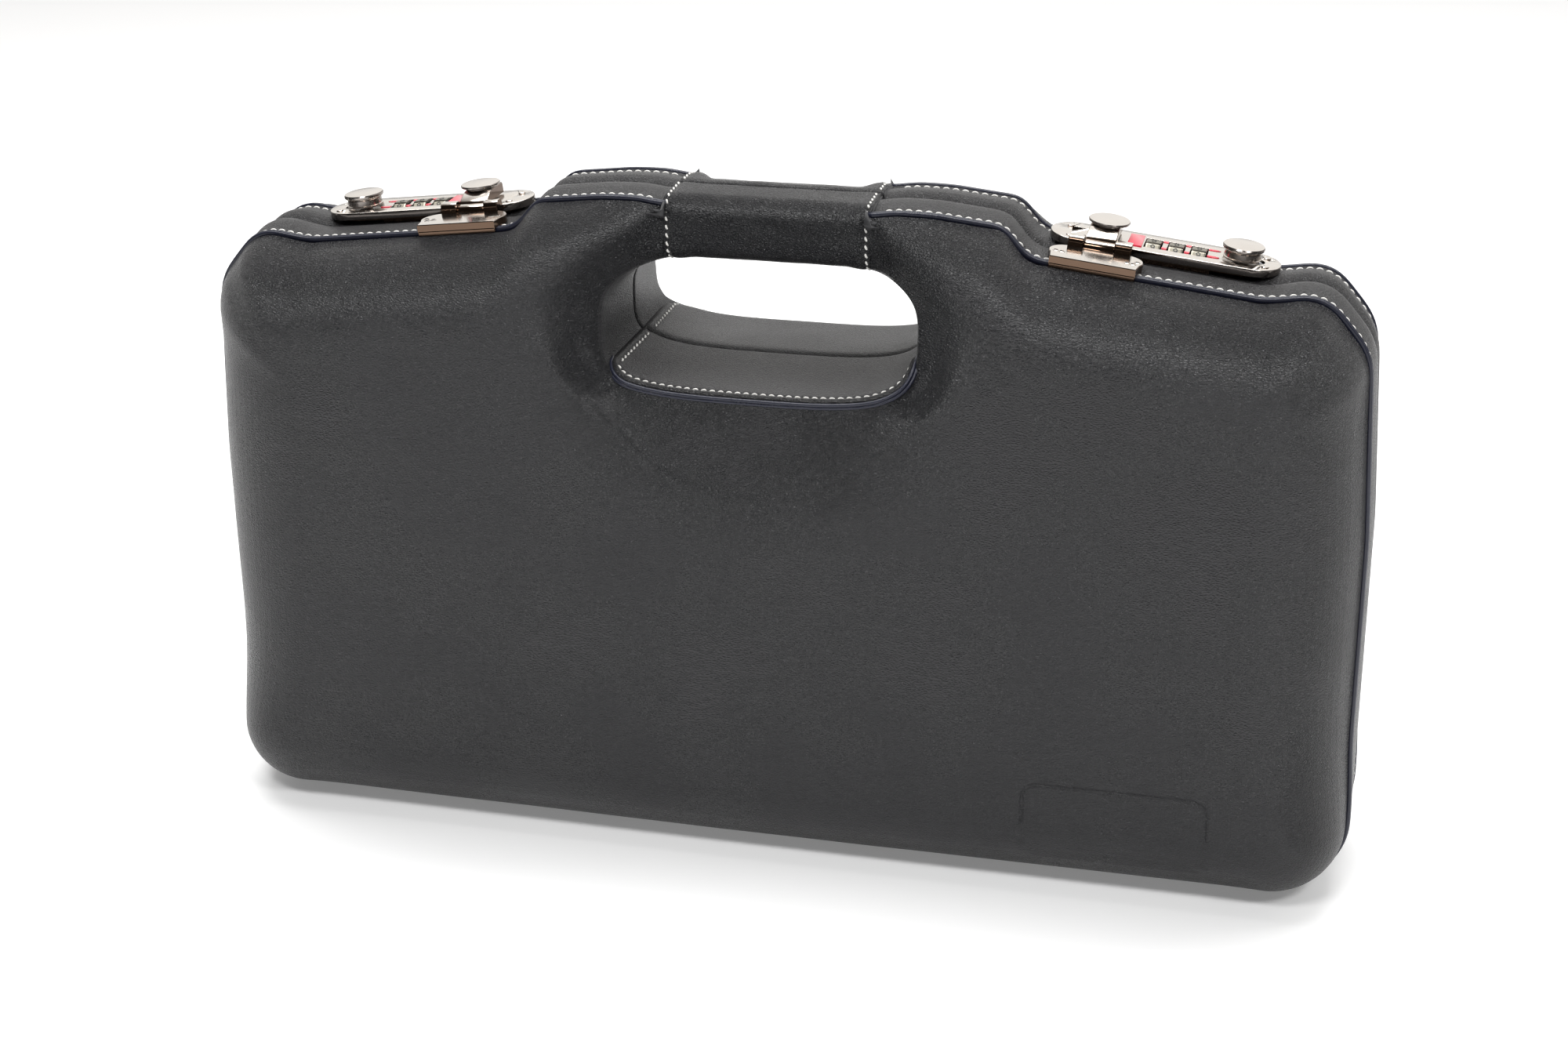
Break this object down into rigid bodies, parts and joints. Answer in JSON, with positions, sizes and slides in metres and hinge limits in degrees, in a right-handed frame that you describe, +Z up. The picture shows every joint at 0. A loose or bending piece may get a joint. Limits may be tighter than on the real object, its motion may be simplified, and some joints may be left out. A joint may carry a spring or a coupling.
{
  "type": "poker chip case",
  "caption": "Rigid leather-covered carrying case with an integral handle and hand hole, two latches with number dials, and padded wells for standing poker chips.",
  "frame": {"origin": "below the middle of the closed case, on the surface that it stands on", "axes": "+X along the width to the right as seen from the front, -Y to the front (lid side), +Z up"},
  "size_m": [0.4052, 0.093, 0.2321],
  "materials": {
    "moulded_shell": "matt black moulded shell",
    "grained_leather": "black pebbled leather, satin",
    "smooth_leather": "black fine-grained leather, satin",
    "welt_edge": "dyed blue-black raised leather edge",
    "white_thread": "white saddle-stitch thread",
    "velvet_lining": "dark red flocked foam",
    "polished_nickel": "polished nickel plate",
    "dial_metal": "dark nickel dial with cut numbers",
    "red_enamel": "red enamel inlay"
  },
  "bodies": {
    "rear_half": {"rear_shell": "moulded_shell", "rear_grip": "moulded_shell", "chip_tray_dividers": "velvet_lining", "rear_leather": "grained_leather", "rear_rim_band": "smooth_leather", "rear_welt": "welt_edge", "rear_handle_wrap": "grained_leather", "rear_hole_floor": "smooth_leather", "chip_tray": "velvet_lining", "left_hinge_rear_leaf": "polished_nickel", "right_hinge_rear_leaf": "polished_nickel", "left_hinge_pin": "polished_nickel", "right_hinge_pin": "polished_nickel", "rear_hinge_screws": "polished_nickel", "left_lock_base": "polished_nickel", "right_lock_base": "polished_nickel", "left_lock_cover": "polished_nickel", "right_lock_cover": "polished_nickel", "left_enamel": "red_enamel", "right_enamel": "red_enamel", "lock_rivets": "polished_nickel", "left_dial_shaft": "polished_nickel", "right_dial_shaft": "polished_nickel", "left_bolt_spring": "polished_nickel", "right_bolt_spring": "polished_nickel"},
    "front_half": {"front_shell": "moulded_shell", "front_grip": "moulded_shell", "lid_pad_dividers": "velvet_lining", "front_leather": "grained_leather", "front_rim_band": "smooth_leather", "front_welt": "welt_edge", "front_handle_wrap": "grained_leather", "front_hole_floor": "smooth_leather", "lid_pad": "velvet_lining", "left_hinge_front_leaf": "polished_nickel", "right_hinge_front_leaf": "polished_nickel", "front_hinge_screws": "polished_nickel", "left_hasp_bracket": "polished_nickel", "right_hasp_bracket": "polished_nickel", "left_hasp_pin": "polished_nickel", "right_hasp_pin": "polished_nickel", "bracket_rivets": "polished_nickel"},
    "left_hasp_body": {"left_hasp": "polished_nickel", "left_hasp_disc": "polished_nickel"},
    "left_knob_body": {"left_knob": "polished_nickel", "left_bolt": "polished_nickel"},
    "left_dial_inner_body": {"left_dial_inner": "dial_metal"},
    "left_dial_middle_body": {"left_dial_middle": "dial_metal"},
    "left_dial_outer_body": {"left_dial_outer": "dial_metal"},
    "right_hasp_body": {"right_hasp": "polished_nickel", "right_hasp_disc": "polished_nickel"},
    "right_knob_body": {"right_knob": "polished_nickel", "right_bolt": "polished_nickel"},
    "right_dial_inner_body": {"right_dial_inner": "dial_metal"},
    "right_dial_middle_body": {"right_dial_middle": "dial_metal"},
    "right_dial_outer_body": {"right_dial_outer": "dial_metal"}
  },
  "joints": [
    {"name": "lid_hinge", "type": "hinge", "parent": "rear_half", "child": "front_half", "pos_m": [0, 0, 0.0021], "axis": [1, 0, 0], "range_deg": [0, 140]},
    {"name": "left_hasp_hinge", "type": "hinge", "parent": "front_half", "child": "left_hasp_body", "pos_m": [-0.10809, -0.0034, 0.21817], "axis": [0.9933, 0, 0.1152], "range_deg": [0, 105]},
    {"name": "left_knob_slide", "type": "slide", "parent": "rear_half", "child": "left_knob_body", "axis": [-0.9933, 0, -0.1152], "range_m": [0, 0.0045], "stiffness_N_per_m": 150, "springref_m": -0.003},
    {"name": "left_dial_inner_turn", "type": "hinge", "parent": "rear_half", "child": "left_dial_inner_body", "pos_m": [-0.12366, 0.009, 0.21183], "axis": [0.9933, 0, 0.1152], "continuous": true},
    {"name": "left_dial_middle_turn", "type": "hinge", "parent": "rear_half", "child": "left_dial_middle_body", "pos_m": [-0.13111, 0.009, 0.21097], "axis": [0.9933, 0, 0.1152], "continuous": true},
    {"name": "left_dial_outer_turn", "type": "hinge", "parent": "rear_half", "child": "left_dial_outer_body", "pos_m": [-0.13856, 0.009, 0.21011], "axis": [0.9933, 0, 0.1152], "continuous": true},
    {"name": "right_hasp_hinge", "type": "hinge", "parent": "front_half", "child": "right_hasp_body", "pos_m": [0.10809, -0.0034, 0.21817], "axis": [0.9933, 0, -0.1152], "range_deg": [0, 105]},
    {"name": "right_knob_slide", "type": "slide", "parent": "rear_half", "child": "right_knob_body", "axis": [0.9933, 0, -0.1152], "range_m": [0, 0.0045], "stiffness_N_per_m": 150, "springref_m": -0.003},
    {"name": "right_dial_inner_turn", "type": "hinge", "parent": "rear_half", "child": "right_dial_inner_body", "pos_m": [0.12366, 0.009, 0.21183], "axis": [0.9933, 0, -0.1152], "continuous": true},
    {"name": "right_dial_middle_turn", "type": "hinge", "parent": "rear_half", "child": "right_dial_middle_body", "pos_m": [0.13111, 0.009, 0.21097], "axis": [0.9933, 0, -0.1152], "continuous": true},
    {"name": "right_dial_outer_turn", "type": "hinge", "parent": "rear_half", "child": "right_dial_outer_body", "pos_m": [0.13856, 0.009, 0.21011], "axis": [0.9933, 0, -0.1152], "continuous": true}
  ]
}
